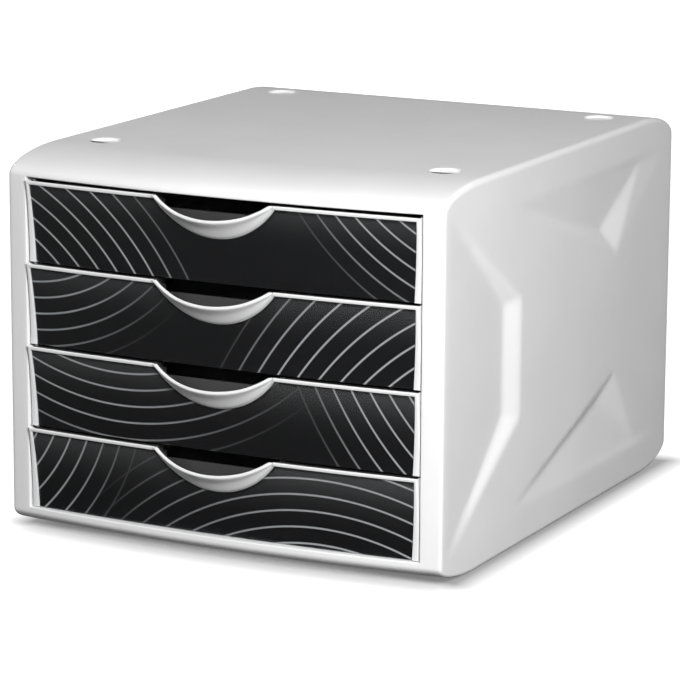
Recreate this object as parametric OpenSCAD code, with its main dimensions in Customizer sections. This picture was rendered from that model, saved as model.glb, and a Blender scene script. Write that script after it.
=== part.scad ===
// Desk drawer box: a one-piece shell with a bowed front frame holds four closed drawers.
// Origin: centre of the overall box, on the table. X to the right, -Y to the front, +Z up.
// Drawer 1 is the top drawer. All sizes are millimetres.

/* [Housing] */
// Overall width
body_w = 262; // [250:1:320]
// Overall depth, from the grips to the back
body_d = 330; // [300:1:400]
// Overall height, feet included
body_h = 212; // [180:1:260]
// Wall of the shell
wall = 2.5; // [2:0.1:3]
// How far the front bows forward at its middle
bow = 9; // [6:0.5:12]
// Width of each front post beside the drawers
post_w = 12; // [11:0.5:16]
// Height of the sill below the lowest drawer
sill_h = 2.5; // [2:0.5:8]
// Depth of the lining round the front opening
lining_d = 14; // [8:1:20]
// Thickness of that lining
lining_t = 2; // [1.5:0.1:3]
// Radius along the long top and bottom edges
ridge_r = 3; // [1.5:0.5:5]
// Height of the flat strip between the brow and the drawers
head_h = 0.7; // [0.5:0.1:4]
// Run of the sloping brow over the drawers
brow_run = 47; // [30:1:60]
// Drop of the brow
brow_drop = 12; // [8:0.5:15]
// Run of the rear top edge
nape_run = 42; // [20:1:60]
// Drop of the rear top edge
nape_drop = 13; // [8:0.5:18]
// Run of the rear bottom edge
heel_run = 40; // [20:1:45]
// Rise of the rear bottom edge
heel_rise = 12; // [8:0.5:18]
// Run of the front bottom edge
toe_run = 45; // [20:1:50]
// Rise of the front bottom edge
toe_rise = 11; // [6:0.5:12]

/* [Side relief] */
// Depth of the pressed-in fields on each side
relief_d = 5; // [2:0.5:6]
// Front edge of the front field, behind the front corner
field_start = 6; // [4:0.5:14]
// Back edge of the front field, behind the front corner
field_end = 97; // [70:1:110]
// Run of the ramp at the back of the front field
field_ramp = 13; // [6:1:25]
// Height of the front field's back edge
field_h = 66; // [40:1:90]
// Distance of the front field from the top and bottom of the side
field_edge = 14; // [12:1:30]
// Front corners of the upper and lower fields, behind the front corner
wedge_start = 88; // [80:1:110]
// Rear corners of the upper and lower fields, ahead of the back
wedge_end = 17; // [14:1:30]
// Tips of the upper and lower fields, ahead of the back
wedge_tip = 83; // [70:1:95]
// Height between those two tips
wedge_gap = 70; // [60:1:90]
// Distance of the upper and lower fields from the top and bottom of the side
wedge_edge = 22; // [20:1:32]
// How far the floor's deepest point lies ahead of the tip, and above or below it
wedge_ramp = 15; // [8:1:20]
// Run over which the rear ramp fades out at its wide end
wedge_fade = 31; // [15:1:40]

/* [Base, back and feet] */
// Thickness of the base plate
base_t = 2.5; // [2:0.1:4]
// Thickness of the back panel
back_t = 2; // [1.5:0.1:3]
// Width of the rim that carries the base plate and back panel
rim_w = 8; // [6:0.5:12]
// How far the base plate reaches ahead of the middle of the front feet
base_ahead = 12; // [0:1:20]
// Distance between the base plate and the feet beside and behind it
base_clear = 3.5; // [2:0.5:8]
// How far the back panel laps over the shell's posts
back_lap = 4; // [2:0.5:6]
// Diameter of each foot pad
foot_dia = 16.2; // [10:0.1:18]
// Thickness of each foot pad
foot_t = 2.5; // [2:0.1:4]
// How far each foot pad is let into the shell
foot_sink = 1; // [0.5:0.1:1.5]
// Distance of the feet from the middle, left and right
foot_x = 103.5; // [90:0.5:108]
// Distance of the front feet from the front corners
foot_front = 58; // [50:1:80]
// Distance of the rear feet from the back
foot_rear = 47; // [40:1:70]
// Diameter of the stacking dimples in the top
dimple_dia = 17; // [12:0.5:19]
// Depth of the stacking dimples
dimple_d = 2; // [1:0.1:3]
// How much narrower the dimples are at their floor, each side
dimple_draft = 0.3; // [0:0.05:0.35]

/* [Runners] */
// Thickness of each runner panel
runner_t = 2; // [1.5:0.1:2.4]
// Thickness of the upright ribs between a runner panel and the shell
rib_t = 2; // [1.5:0.1:3]
// Distance of the outer ribs from the ends of a runner panel
rib_inset = 30; // [15:1:60]
// Width of the ledges that carry the drawers
ledge_w = 10; // [6:0.5:14]
// Thickness of the ledges
ledge_t = 2; // [1.5:0.1:3]
// Free space under a drawer on its ledges
slide_gap = 0.3; // [0.2:0.05:0.5]
// Free space beside a drawer
side_gap = 1.4; // [1.2:0.1:2]
// Free space between a closed drawer and the back panel
rear_gap = 0.7; // [0.5:0.1:3]
// Length of each stop lug and of the ear that meets it
stop_l = 3; // [2:0.5:6]
// Height of each stop lug and ear
stop_h = 8; // [4:0.5:12]
// Height of each stop above its ledge
stop_up = 8; // [4:0.5:12]
// How far a drawer pulls out before it meets its stops
travel = 240; // [200:5:260]

/* [Drawers] */
// Free space round each drawer front
front_gap = 0.8; // [0.5:0.1:1.2]
// More free height above the top drawer's front, under the brow
top_gap = 1.2; // [0:0.1:2]
// Wall of the drawer trays
tray_t = 2; // [1.5:0.1:2.5]
// Floor of a tray above the bottom of its front
tray_lift = 4.2; // [3.6:0.1:6]
// Top of the tray walls below the top of the front
tray_low = 5; // [4:0.5:10]
// Length inside the trays, for a full sheet
tray_inner = 300.5; // [280:0.5:340]
// How far a front bows forward across its width, which may be less than the posts do
front_bow = 5; // [2:0.1:9]
// How far the front surface falls back from its top to its bottom
front_fall = 3.5; // [2:0.5:5]
// Thickness of the front behind the card
front_t = 2.2; // [1.8:0.1:3]
// Height of the white rim above the cover
rim_h = 2; // [1.2:0.1:3]
// Width of the white margin beside the cover, at the top
margin_w = 1.8; // [1.2:0.1:3]
// How much narrower the cover is at the bottom, each side
cover_taper = 2.2; // [0:0.1:4]
// Thickness of the insert card
card_t = 0.4; // [0.3:0.1:0.8]
// Thickness of the clear cover
cover_t = 1.5; // [1:0.1:2]
// How far the cover stands proud of the margins
cover_proud = 0.4; // [0.2:0.1:0.8]

/* [Grip] */
// Width of the grip opening at the top of a front
grip_w = 73; // [60:1:90]
// Height of the grip opening
grip_h = 19.6; // [16:0.5:24]
// How far the lip stands in front of the drawer
grip_proud = 9; // [6:0.5:12]
// Wall of the lip
lip_t = 2; // [1.5:0.1:2.5]
// Upward tilt of the lip
lip_tilt = 41; // [35:1:48]
// Depth of the finger pocket behind the front
pocket_d = 11; // [8:0.5:14]
// Underside of the pocket below the grip opening
pocket_drop = 4; // [3:0.5:6]
// How far the pocket's sides stand outside the grip opening
pocket_side = 1; // [0.5:0.1:3]
// Top of the pocket's back wall below the top of the front
pocket_low = 9; // [6:0.5:12]

/* [Hidden] */
$fn = 96;
DRAWERS = 4;
bend_steps = 14;
cut = 1;
fit = 0.05;
cover_play = 0.1;
card_play = 0.15;
rib_play = 0.2;
runner_play = 0.5;

back_y = body_d / 2;
corner_y = -body_d / 2 + grip_proud + bow;
front_r = (pow(body_w / 2, 2) + pow(bow, 2)) / (2 * bow);
front_y = corner_y - bow;
sweep_deep = body_d + 60;

shell_z = foot_t - foot_sink;
sill_z = shell_z + toe_rise + sill_h;
head_z = body_h - brow_drop - head_h;
open_w = body_w - 2 * post_w;
open_h = head_z - sill_z;
pitch = (open_h - top_gap) / DRAWERS;

front_w = open_w - 2 * front_gap;
skin_r = (pow(front_w / 2, 2) + pow(front_bow, 2)) / (2 * front_bow);
tray_w = open_w - 2 * side_gap;
tray_l = tray_inner + 2 * tray_t;
tray_y = back_y - wall - back_t - rear_gap - tray_l;
pocket_y = front_y + pocket_d + cover_t + card_t + front_t;
card_back = cover_t + card_t + 2 * fit;
skin_back = card_back + front_t;
panel_x = open_w / 2;

runner_y = corner_y + lining_d + runner_play;
runner_l = back_y - wall - back_t - runner_y;
foot_ys = [corner_y + foot_front, back_y - foot_rear];
base_y = corner_y + foot_front - base_ahead;
base_l = back_y - foot_rear - foot_dia / 2 - base_clear - base_y;
base_w = 2 * (foot_x - foot_dia / 2 - base_clear);
back_z = shell_z + heel_rise;
back_h = body_h - nape_drop - back_z;

// Vertical place of each drawer's front and tray
function front_bottom(n) = sill_z + (DRAWERS - n) * pitch + front_gap / 2;
function front_top(n) = front_bottom(n) + pitch - front_gap;
function tray_z(n) = front_bottom(n) + tray_lift;
function pocket_z(n) = front_top(n) - grip_h - pocket_drop;
function stop_z(n) = tray_z(n) - slide_gap + stop_up;

// A quarter of an ellipse about c, with half axes a, from one multiple of 90 degrees to the next
function bend(c, a, from) = [for (i = [0:bend_steps])
    c + [a[0] * cos(from + 90 * i / bend_steps), a[1] * sin(from + 90 * i / bend_steps)]];

// How far the front surface of a drawer lies behind its top edge, at height t from 0 to 1
function fall(t) = front_fall * (1 - t * t);

// ---- Shared forms ----

// Sweeps a section drawn in radius and height along a bow of radius r
module sweep(r) {
    a = asin(body_w / 2 / (r - sweep_deep)) + 2;
    translate([0, front_y + r, 0]) rotate([0, 0, -90 - a])
        rotate_extrude(angle = 2 * a, $fn = 360) children();
}

// Extrudes a section drawn in Y and Z across the width w
module across(w) {
    translate([-w / 2, 0, 0]) rotate([90, 0, 90]) linear_extrude(w) children();
}

// Extrudes a section drawn in X and Z over the whole depth
module through() {
    translate([0, body_d, 0]) rotate([90, 0, 0]) linear_extrude(2 * body_d) children();
}

// The housing as a solid block, drawn in by inset on every side
module housing_block(inset) {
    low = shell_z + inset;
    high = body_h - inset;
    intersection() {
        across(body_w - 2 * inset) polygon(concat([[-body_d, low]],
            bend([back_y - heel_run, shell_z + heel_rise], [heel_run - inset, heel_rise - inset], 270),
            bend([back_y - nape_run, body_h - nape_drop], [nape_run - inset, nape_drop - inset], 0),
            [[-body_d, high]]));
        sweep(front_r) polygon(concat([[front_r - sweep_deep, low]],
            bend([front_r - toe_run, shell_z + toe_rise], [toe_run - inset, toe_rise - inset], 270),
            bend([front_r - brow_run, body_h - brow_drop], [brow_run - inset, brow_drop - inset], 0),
            [[front_r - sweep_deep, high]]));
    }
}

// The block's long edges, rounded as seen from the front
module ridge_form() {
    x = body_w / 2 - ridge_r;
    r = [ridge_r, ridge_r];
    through() polygon(concat(
        bend([x, body_h - ridge_r], r, 0), bend([-x, body_h - ridge_r], r, 90),
        bend([-x, shell_z + ridge_r], r, 180), bend([x, shell_z + ridge_r], r, 270)));
}

// ---- Side relief: three pressed-in fields, each a flat floor that slopes in to a ramp ----

// A point on the right side: place along the side, height, and depth of the relief
function on_side(y, z, d) = [body_w / 2 - d, y, z];

side_mid = (shell_z + body_h) / 2;
side_half = (body_h - shell_z) / 2;

// The wide field behind the front post
module front_field() {
    y0 = corner_y + field_start;
    y1 = corner_y + field_end;
    half0 = side_half - field_edge;
    half1 = field_h / 2;
    floor_half = half1 - relief_d / 2;
    polyhedron(
        points = [on_side(y0, side_mid + half0, 0), on_side(y1, side_mid + half1, 0),
            on_side(y1, side_mid - half1, 0), on_side(y0, side_mid - half0, 0),
            on_side(y1 - field_ramp, side_mid + floor_half, relief_d),
            on_side(y1 - field_ramp, side_mid - floor_half, relief_d)],
        faces = [[0, 1, 2, 3], [0, 3, 5, 4], [0, 4, 1], [3, 2, 5], [1, 4, 5, 2]]);
}

// The wedge-shaped field above the tips' gap, or below it when side is -1
module wedge_field(side) {
    y = back_y - wedge_tip;
    far = side_mid + side * (side_half - wedge_edge);
    tip = side_mid + side * wedge_gap / 2;
    polyhedron(
        points = [on_side(corner_y + wedge_start, far, 0), on_side(y, tip, 0),
            on_side(back_y - wedge_end, far, 0),
            on_side(back_y - wedge_end - wedge_fade, far, relief_d / 6),
            on_side(y - wedge_ramp, tip + side * wedge_ramp, relief_d)],
        faces = side > 0 ? [[0, 2, 1], [0, 3, 2], [0, 1, 4], [1, 2, 3], [1, 3, 4], [0, 4, 3]]
            : [[0, 1, 2], [0, 2, 3], [0, 4, 1], [1, 3, 2], [1, 4, 3], [0, 3, 4]]);
}

// All six fields, drawn in towards the middle by inset
module fields(inset) {
    for (m = [0, 1]) mirror([m, 0, 0]) translate([-inset, 0, 0]) {
        front_field();
        wedge_field(1);
        wedge_field(-1);
    }
}

// ---- Housing ----

module opening_form() {
    translate([-open_w / 2, -body_d, sill_z]) cube([open_w, body_d + corner_y + lining_d + cut, open_h]);
}

// A ring behind the front that lines the opening
module lining() {
    intersection() {
        housing_block(0);
        translate([-open_w / 2 - lining_t, -body_d, sill_z - lining_t])
            cube([open_w + 2 * lining_t, body_d + corner_y + lining_d, open_h + 2 * lining_t]);
    }
}

// The places of the feet, which are also those of the dimples in the top
module at_feet() {
    for (x = [-foot_x, foot_x], y = foot_ys) translate([x, y, 0]) children();
}

module housing_shell() {
    color("white") difference() {
        union() {
            difference() {
                intersection() {
                    housing_block(0);
                    ridge_form();
                }
                fields(0);
                difference() {
                    housing_block(wall);
                    fields(wall);
                }
            }
            lining();
            at_feet() translate([0, 0, body_h - wall - dimple_d])
                cylinder(d = dimple_dia + 2 * wall, h = dimple_d);
        }
        opening_form();
        at_feet() translate([0, 0, body_h - dimple_d])
            cylinder(d1 = dimple_dia - 2 * dimple_draft,
                     d2 = dimple_dia + 2 * dimple_draft * cut / dimple_d, h = dimple_d + cut);
        at_feet() translate([0, 0, shell_z - cut]) cylinder(d = foot_dia + 2 * fit, h = foot_sink + cut);
        translate([-base_w / 2 + rim_w, base_y + rim_w, shell_z - cut])
            cube([base_w - 2 * rim_w, base_l - 2 * rim_w, wall + 2 * cut]);
        translate([-open_w / 2, back_y - wall - cut, back_z + rim_w])
            cube([open_w, wall + 2 * cut, back_h - 2 * rim_w]);
    }
}

// Closes the underside from within, on the rim of the shell
module base_plate() {
    color("gainsboro") translate([-base_w / 2, base_y, shell_z + wall])
        cube([base_w, base_l, base_t]);
}

// Closes the back from within, on the rim of the shell
module back_panel() {
    color("gainsboro") translate([-panel_x - back_lap, back_y - wall - back_t, back_z])
        cube([2 * (panel_x + back_lap), back_t, back_h]);
}

// ---- Runners ----

// The right runner: a panel with a ledge and a stop lug for each drawer
module runner() {
    color("gainsboro") intersection() {
        housing_block(wall + fit);
        union() {
            translate([panel_x, runner_y, shell_z]) cube([runner_t, runner_l, body_h]);
            for (y = [rib_inset, runner_l / 2, runner_l - rib_inset])
                translate([panel_x, runner_y + y - rib_t / 2, shell_z])
                    cube([post_w - wall - relief_d - rib_play, rib_t, body_h]);
            for (n = [1:DRAWERS]) {
                translate([panel_x - ledge_w, runner_y, tray_z(n) - slide_gap - ledge_t])
                    cube([ledge_w + cut, runner_l, ledge_t]);
                translate([panel_x - side_gap + slide_gap, runner_y, stop_z(n)])
                    cube([side_gap - slide_gap + cut, stop_l, stop_h]);
            }
        }
    }
}

module runner_right() { runner(); }

module runner_left() { mirror([1, 0, 0]) runner(); }

// ---- Feet ----

module foot(side, row) {
    color("dimgray") translate([side * foot_x, foot_ys[row], 0]) cylinder(d = foot_dia, h = foot_t);
}

// ---- Drawers ----

// A swept sheet of drawer n, from depth a to depth b behind the front surface, and as far above
// the top of the front as over
module front_sheet(n, a, b, over = 0) {
    z0 = front_bottom(n);
    h = front_top(n) - z0;
    steps = 8;
    places = concat([for (i = [0:steps - 1]) [fall(i / steps), z0 + h * i / steps]],
        [[0, z0 + h + over]]);
    sweep(skin_r) polygon(concat(
        [for (p = places) [skin_r - p[0] - a, p[1]]],
        [for (i = [steps:-1:0]) [skin_r - places[i][0] - b, places[i][1]]]));
}

// The outline of the card and cover, drawn in X and Z, smaller by gap on its sides and top
module window(n, gap) {
    top_x = front_w / 2 - margin_w - gap;
    low_x = top_x - cover_taper;
    z1 = front_top(n) - rim_h - gap;
    slope = cover_taper / (z1 - front_bottom(n));
    polygon([[-low_x + slope * cut, front_bottom(n) - cut], [low_x - slope * cut, front_bottom(n) - cut],
        [top_x, z1], [-top_x, z1]]);
}

// The grip is a piece of a tube that leans forward. Its lowest line meets the cover at grip_h.
grip_fall = fall(1 - grip_h / (pitch - front_gap));
grip_q = grip_h * cos(lip_tilt) - grip_fall * sin(lip_tilt);
grip_r = (pow(grip_w / 2, 2) + pow(grip_q, 2)) / (2 * grip_q);

module grip_tube(n, r) {
    translate([0, front_y + grip_fall, front_top(n) - grip_h]) rotate([90 - lip_tilt, 0, 0])
        translate([0, grip_r, -grip_w / 2]) cylinder(r = r, h = grip_w, $fn = 180);
}

// How far the lip's edge lies below the top of the front
lip_drop = grip_h - (grip_proud + grip_fall) * tan(lip_tilt);

// The lip before it is hollowed: the tube in front of the drawer, cut off on a plane through the
// grip's corners
module lip_block(n) {
    edge_a = atan(lip_drop / grip_proud);
    reach = grip_w;
    intersection() {
        grip_tube(n, grip_r);
        translate([0, front_y, front_top(n)]) rotate([edge_a, 0, 0])
            translate([-reach, -reach, -reach]) cube([2 * reach, 2 * reach, reach]);
        translate([-reach, front_y - reach, front_bottom(n)])
            cube([2 * reach, reach + skin_back, 2 * reach]);
    }
}

// A block of drawer n's inside, from x0 to x1, y0 to y1 and z0 to z1
module block(x0, x1, y0, y1, z0, z1) {
    translate([x0, y0, z0]) cube([x1 - x0, y1 - y0, z1 - z0]);
}

// The tray behind the front, open at the top, with its front wall open over the finger pocket
module tray_box(n) {
    z0 = tray_z(n);
    z1 = front_top(n) - tray_low;
    half = grip_w / 2 + pocket_side;
    difference() {
        block(-tray_w / 2, tray_w / 2, tray_y, tray_y + tray_l, z0, z1);
        block(tray_t - tray_w / 2, tray_w / 2 - tray_t, tray_y + tray_t, tray_y + tray_t + tray_inner,
            z0 + tray_t, z1 + cut);
        block(-half, half, tray_y - cut, tray_y + tray_t + cut, pocket_z(n) + tray_t, z1 + cut);
    }
}

// The right half of what joins the front to the tray: a cheek, the floor, a flange along the
// top, the rest of the tray's front wall, and half of the finger pocket
module front_half(n) {
    z0 = tray_z(n);
    z1 = front_top(n);
    y1 = tray_y + tray_t;
    half = grip_w / 2 + pocket_side;
    block(tray_w / 2 - tray_t, tray_w / 2, front_y, y1, z0, z1);
    block(-cut, tray_w / 2, front_y, y1, z0, z0 + tray_t);
    block(half, tray_w / 2, front_y, y1, z1 - tray_t, z1);
    block(half, tray_w / 2, tray_y, y1, z0, z1);
    block(half, half + tray_t, front_y, y1, pocket_z(n), z1);
    block(half, half + tray_t, front_y, pocket_y + tray_t, pocket_z(n), z1 - tray_low);
    block(-cut, half, front_y, pocket_y + tray_t, pocket_z(n), pocket_z(n) + tray_t);
    block(-cut, half, pocket_y, pocket_y + tray_t, pocket_z(n), z1 - pocket_low);
}

// The right stop ear, which meets its lug when the drawer is out by travel
module stop_ear(n) {
    block(tray_w / 2 - cut, tray_w / 2 + side_gap - slide_gap,
        runner_y + stop_l + travel, runner_y + 2 * stop_l + travel, stop_z(n), stop_z(n) + stop_h);
}

// The front with its lip and with the recess for the card and cover
module front_skin(n) {
    difference() {
        intersection() {
            union() {
                difference() {
                    front_sheet(n, cover_proud, skin_back, cut);
                    intersection() {
                        front_sheet(n, -cut, card_back);
                        through() window(n, 0);
                    }
                }
                lip_block(n);
            }
            translate([-front_w / 2, -body_d, 0]) cube([front_w, body_d, front_top(n)]);
        }
        grip_tube(n, grip_r - lip_t);
    }
}

module drawer_tray(n) {
    color("white") union() {
        front_skin(n);
        intersection() {
            front_sheet(n, skin_back - fit, sweep_deep - cut);
            union() {
                tray_box(n);
                for (m = [0, 1]) mirror([m, 0, 0]) {
                    front_half(n);
                    stop_ear(n);
                }
            }
        }
    }
}

// The printed card behind the cover
module insert_card(n) {
    color("black") difference() {
        intersection() {
            front_sheet(n, cover_t + fit, cover_t + card_t + fit);
            through() window(n, card_play);
        }
        grip_tube(n, grip_r + cover_play);
    }
}

// The clear cover in front of the card
module clear_cover(n) {
    color("dimgray", 0.4) difference() {
        intersection() {
            front_sheet(n, 0, cover_t);
            through() window(n, cover_play);
        }
        grip_tube(n, grip_r + cover_play);
    }
}

housing_shell();
base_plate();
back_panel();
runner_left();
runner_right();
foot(-1, 0);  // foot_front_left
foot(1, 0);  // foot_front_right
foot(-1, 1);  // foot_rear_left
foot(1, 1);  // foot_rear_right
for (n = [1:DRAWERS]) {
    drawer_tray(n);
    insert_card(n);
    clear_cover(n);
}
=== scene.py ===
import math

import bpy
import bmesh
import numpy as np
from mathutils import Matrix, Vector


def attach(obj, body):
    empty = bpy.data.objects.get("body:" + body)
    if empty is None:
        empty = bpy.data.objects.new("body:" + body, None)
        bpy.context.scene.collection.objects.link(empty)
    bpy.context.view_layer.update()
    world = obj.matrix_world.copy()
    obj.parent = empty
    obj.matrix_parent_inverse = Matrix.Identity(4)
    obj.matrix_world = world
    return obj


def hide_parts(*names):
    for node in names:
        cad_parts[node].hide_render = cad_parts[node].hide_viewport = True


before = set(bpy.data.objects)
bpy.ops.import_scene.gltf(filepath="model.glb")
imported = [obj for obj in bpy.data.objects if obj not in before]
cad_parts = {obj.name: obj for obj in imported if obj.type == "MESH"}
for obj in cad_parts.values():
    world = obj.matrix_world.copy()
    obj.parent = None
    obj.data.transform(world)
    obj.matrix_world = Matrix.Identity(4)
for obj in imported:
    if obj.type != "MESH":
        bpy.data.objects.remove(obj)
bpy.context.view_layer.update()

# ---------------------------------------------------------------- sizes, in millimetres

# the shell
HALF_W = 131.0
FRONT_Y, CORNER_Y, BACK_Y = -156.0, -147.0, 165.0  # the front's middle and corners, and the back
BOW_R = 957.89
ARC_Y = FRONT_Y + BOW_R
SHELL_Z, TOP_Z = 1.5, 212.0
WALL = 2.5
EDGE_R = 0.7  # the round at the edges of openings
FLAT_X = 127.6  # where the rounds at the sides begin
# its openings: the front's half width and height, then those of the back and the base
OPEN_X, SILL_Z, HEAD_Z = 119.0, 15.0, 199.3
LINING_Y = CORNER_Y + 14
BACK_LOW, BACK_HIGH = 21.5, 191.0
BASE_X, BASE_FRONT, BASE_REAR = 83.9, -93.0, 98.4
# the ovals at its outline's corners: centre y, centre z, radius along y, radius along z
TOE = (FRONT_Y + 45.0, SHELL_Z + 11.0, 45.0, 11.0)
BROW = (FRONT_Y + 47.0, 200.0, 47.0, 12.0)
CROWN = (123.0, 199.0, 42.0, 13.0)
HEEL = (125.0, 13.5, 40.0, 12.0)
BOW_END = 60.0  # where the top and the base no longer follow the bow
# feet and dimples
FOOT_X, FOOT_Y = 103.5, (-89.0, 118.0)
FOOT_R = 8.1
DIMPLE_R, DIMPLE_DEEP = 8.5, 2.0
DIMPLE_BLOCK = 12.0  # half a side of the square of skin that a dimple stands in for

# the drawers, number 1 at the top
PITCH, GAP = 45.775, 0.8
FRONT_HALF, FRONT_BOW = 118.2, 5.0
FRONT_R = (FRONT_HALF**2 + FRONT_BOW**2) / (2 * FRONT_BOW)
FALL = 3.5  # how far a front's foot lies behind its top
FACE_D = (2.0, 4.2)  # how deep behind the front surface the moulding's plate begins and ends
COVER, CARD = (0.0, 1.5), (1.55, 1.95)
RIM_D, RIM_H, MARGIN, TAPER = 0.4, 2.0, 1.8, 2.2
TRAY_HALF, TRAY_Y0, TRAY_Y1 = 117.6, -144.7, 159.8
TRAY_LIFT, TRAY_DROP, TRAY_T = 4.2, 5.0, 2.0
GATE_HALF = 38.0  # the tray's front wall is lower within this of the middle
TRAVEL, STOP_T = 240.0, 3.0  # the way to the stops, and how thick lugs and ears are
POCKET_Y = -140.9
GRIP_HALF, GRIP_H, LIP_T, TILT = 36.5, 19.6, 2.0, math.radians(41)
PROUD = 9.0
EDGE_CUT = 1.3  # how far the lip's edge is cut back at its middle

MIRROR = np.array([-1, 1, 1])
QUARTER = np.radians([0, 22, 45, 68, 90])


def fall(t):
    return FALL * (1 - np.clip(t, 0, 1) ** 2)


def front_z(n):
    """The foot and the top of front n."""
    z0 = SILL_Z + (4 - n) * PITCH + GAP / 2
    return z0, z0 + PITCH - GAP


def surface_y(x, z, depth, n):
    """The front surface of drawer n, so far behind it as depth. It bows less than the posts."""
    z0, z1 = front_z(n)
    r = FRONT_R - fall((z - z0) / (z1 - z0)) - depth
    return FRONT_Y + FRONT_R - np.sqrt(r * r - np.asarray(x, float) ** 2)


GRIP_FALL = float(fall(1 - GRIP_H / (PITCH - GAP)))
GRIP_Q = GRIP_H * math.cos(TILT) - GRIP_FALL * math.sin(TILT)
GRIP_R = (GRIP_HALF**2 + GRIP_Q**2) / (2 * GRIP_Q)
LIP_DROP = GRIP_H - (PROUD + GRIP_FALL) * math.tan(TILT)

# ---------------------------------------------------------------- mesh helpers


class Parts:
    """Collects points and faces of one object, with a material number for each face."""

    def __init__(self):
        self.v, self.f, self.m = [], [], []

    def add(self, verts, faces, mat=0):
        k = len(self.v)
        self.v.extend(np.asarray(verts, float).reshape(-1, 3).tolist())
        self.f.extend([[k + i for i in f] for f in faces])
        self.m.extend([mat] * len(faces))

    def loft(self, rings, mat=0, cap0=False, cap1=False):
        """Joins closed rings of equally many points."""
        n = len(rings[0])
        faces = []
        for i in range(len(rings) - 1):
            a, b = i * n, (i + 1) * n
            for j in range(n):
                k = (j + 1) % n
                faces.append([a + j, a + k, b + k, b + j])
        if cap0:
            faces.append(list(range(n))[::-1])
        if cap1:
            faces.append([(len(rings) - 1) * n + j for j in range(n)])
        self.add(np.concatenate([np.asarray(r, float) for r in rings]), faces, mat)

    def grid(self, pts, mat=0, keep=None):
        """pts is rows by columns by 3; keep says which quads stay."""
        pts = np.asarray(pts, float)
        a, b = pts.shape[:2]
        faces = []
        for i in range(a - 1):
            for j in range(b - 1):
                if keep is None or keep[i, j]:
                    k = i * b + j
                    faces.append([k, k + 1, k + b + 1, k + b])
        self.add(pts, faces, mat)

    def slab(self, x0, x1, y0, y1, z0, z1, r, mat=0):
        """A box with rounded edges."""
        lo, hi = np.array([x0, y0, z0]) + r, np.array([x1, y1, z1]) - r
        ang = [0.0, 30.0, 60.0, 90.0]
        rings = []
        for side, a in [(-1, a) for a in ang[::-1]] + [(1, a) for a in ang]:
            z = (lo[2] if side < 0 else hi[2]) + side * r * math.sin(math.radians(a))
            out = r * math.cos(math.radians(a))
            ring = []
            corners = ((hi[0], hi[1], 0), (lo[0], hi[1], 90), (lo[0], lo[1], 180), (hi[0], lo[1], 270))
            for cx, cy, t0 in corners:
                for b in ang:
                    t = math.radians(t0 + b)
                    ring.append([cx + out * math.cos(t), cy + out * math.sin(t), z])
            rings.append(ring)
        self.loft(rings, mat, True, True)

    def make(self, name, mats, angle=38.0):
        """The object in metres, with doubles merged, normals outwards and edges sharp beyond an angle."""
        me = bpy.data.meshes.new(name)
        me.from_pydata((np.array(self.v) * 0.001).tolist(), [], self.f)
        for m in mats:
            me.materials.append(m)
        me.polygons.foreach_set("material_index", np.array(self.m, np.int32))
        me.validate()
        bm = bmesh.new()
        bm.from_mesh(me)
        bmesh.ops.remove_doubles(bm, verts=bm.verts, dist=1e-6)
        bmesh.ops.recalc_face_normals(bm, faces=bm.faces)
        bm.to_mesh(me)
        bm.free()
        me.polygons.foreach_set("use_smooth", np.ones(len(me.polygons), bool))
        me.set_sharp_from_angle(angle=math.radians(angle))
        return linked(name, me)


def linked(name, data):
    ob = bpy.data.objects.new(name, data)
    bpy.context.scene.collection.objects.link(ob)
    return ob


def spread(breaks, counts):
    """Numbers that run through breaks, with counts steps between each two."""
    out = [breaks[0]]
    for a, b, n in zip(breaks, breaks[1:], counts):
        out += [a + (b - a) * (i + 1) / n for i in range(n)]
    return np.array(out, float)


def both_ways(half):
    """Numbers from 0 up, and the same below 0."""
    return np.concatenate([-half[::-1], half[1:]])


def smooth(a, b, x):
    t = np.clip((np.asarray(x, float) - a) / (b - a), 0, 1)
    return t * t * (3 - 2 * t)


# ---------------------------------------------------------------- node helpers


def new_material(name):
    """A material with nothing but its output node."""
    m = bpy.data.materials.new(name)
    m.use_nodes = True
    nt = m.node_tree
    nt.nodes.clear()
    return m, nt, nt.nodes.new("ShaderNodeOutputMaterial")


def principled(name):
    m, nt, out = new_material(name)
    bsdf = nt.nodes.new("ShaderNodeBsdfPrincipled")
    nt.links.new(bsdf.outputs[0], out.inputs[0])
    return m, nt, bsdf, out


def object_point(nt):
    return nt.nodes.new("ShaderNodeTexCoord").outputs["Object"]


def noise(nt, coord, scale, detail=2.0, rough=0.5):
    n = nt.nodes.new("ShaderNodeTexNoise")
    n.inputs["Scale"].default_value = scale
    n.inputs["Detail"].default_value = detail
    n.inputs["Roughness"].default_value = rough
    nt.links.new(coord, n.inputs["Vector"])
    return n.outputs["Fac"]


def ranged(nt, value, a, b, lo=0.0, hi=1.0):
    """Runs from a to b while the value runs from lo to hi, and stays there beyond."""
    n = nt.nodes.new("ShaderNodeMapRange")
    n.inputs["From Min"].default_value = lo
    n.inputs["From Max"].default_value = hi
    n.inputs["To Min"].default_value = a
    n.inputs["To Max"].default_value = b
    nt.links.new(value, n.inputs["Value"])
    return n.outputs["Result"]


def maths(nt, op, *values):
    n = nt.nodes.new("ShaderNodeMath")
    n.operation = op
    for socket, v in zip(n.inputs, values):
        if isinstance(v, (int, float)):
            socket.default_value = v
        else:
            nt.links.new(v, socket)
    return n.outputs[0]


def product(nt, first, *others):
    for v in others:
        first = maths(nt, "MULTIPLY", first, v)
    return first


def length(nt, dx, dy):
    return maths(nt, "SQRT", maths(nt, "ADD", product(nt, dx, dx), product(nt, dy, dy)))


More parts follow.
